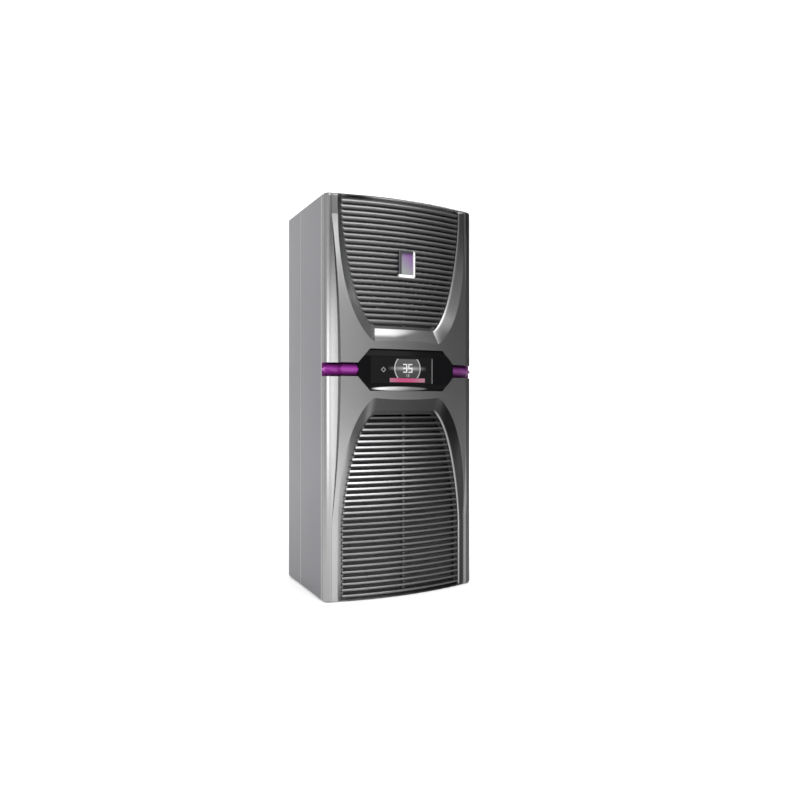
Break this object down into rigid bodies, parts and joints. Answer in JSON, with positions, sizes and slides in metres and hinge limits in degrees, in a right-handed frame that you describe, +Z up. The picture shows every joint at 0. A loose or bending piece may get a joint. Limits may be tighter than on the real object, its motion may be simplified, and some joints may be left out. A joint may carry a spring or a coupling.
{
  "type": "cabinet cooling unit",
  "caption": "Wall-mounted cooling unit for a control cabinet: grey bowed cover with louvre grilles above and below, black display at the waist and a purple band.",
  "frame": {"origin": "centre of the bottom of the box round the whole unit", "axes": "+Z up, -Y out of the front cover, +Y out of the mounting face, +X to the right seen from the front"},
  "size_m": [0.404, 0.31, 0.95],
  "materials": {
    "cover_paint": "satin",
    "housing_paint": "satin",
    "grille_plastic": "satin",
    "bright_trim": "polished",
    "badge_face": "satin",
    "display_black": "gloss",
    "display_pane": "gloss",
    "accent": "gloss",
    "back_metal": "satin",
    "inner_metal": "matt",
    "fan_plastic": "matt",
    "guard_wire": "satin",
    "coil_fins": "satin",
    "seal": "matt",
    "fixing_steel": "satin"
  },
  "bodies": {
    "root": {"front_fascia": "cover_paint", "upper_grille": "grille_plastic", "lower_grille": "grille_plastic", "badge_frame": "bright_trim", "badge_plate": "badge_face", "display_housing": "display_black", "display_glass": "display_pane", "accent_band_left": "accent", "accent_band_right": "accent", "hood": "housing_paint", "rear_housing": "housing_paint", "back_plate": "back_metal", "rear_gasket": "seal", "partition_plate": "inner_metal", "exhaust_fan_plate": "inner_metal", "exhaust_fan_mount": "inner_metal", "exhaust_fan": "fan_plastic", "exhaust_fan_guard": "guard_wire", "condenser_coil": "coil_fins", "evaporator_coil": "coil_fins", "air_outlet_grille": "fan_plastic", "intake_fan_shroud": "inner_metal", "intake_fan": "fan_plastic", "intake_fan_guard": "guard_wire", "mounting_bushes": "fixing_steel", "lifting_bushes": "fixing_steel", "drain_socket": "fan_plastic", "terminal_cover": "fan_plastic"}
  },
  "joints": []
}
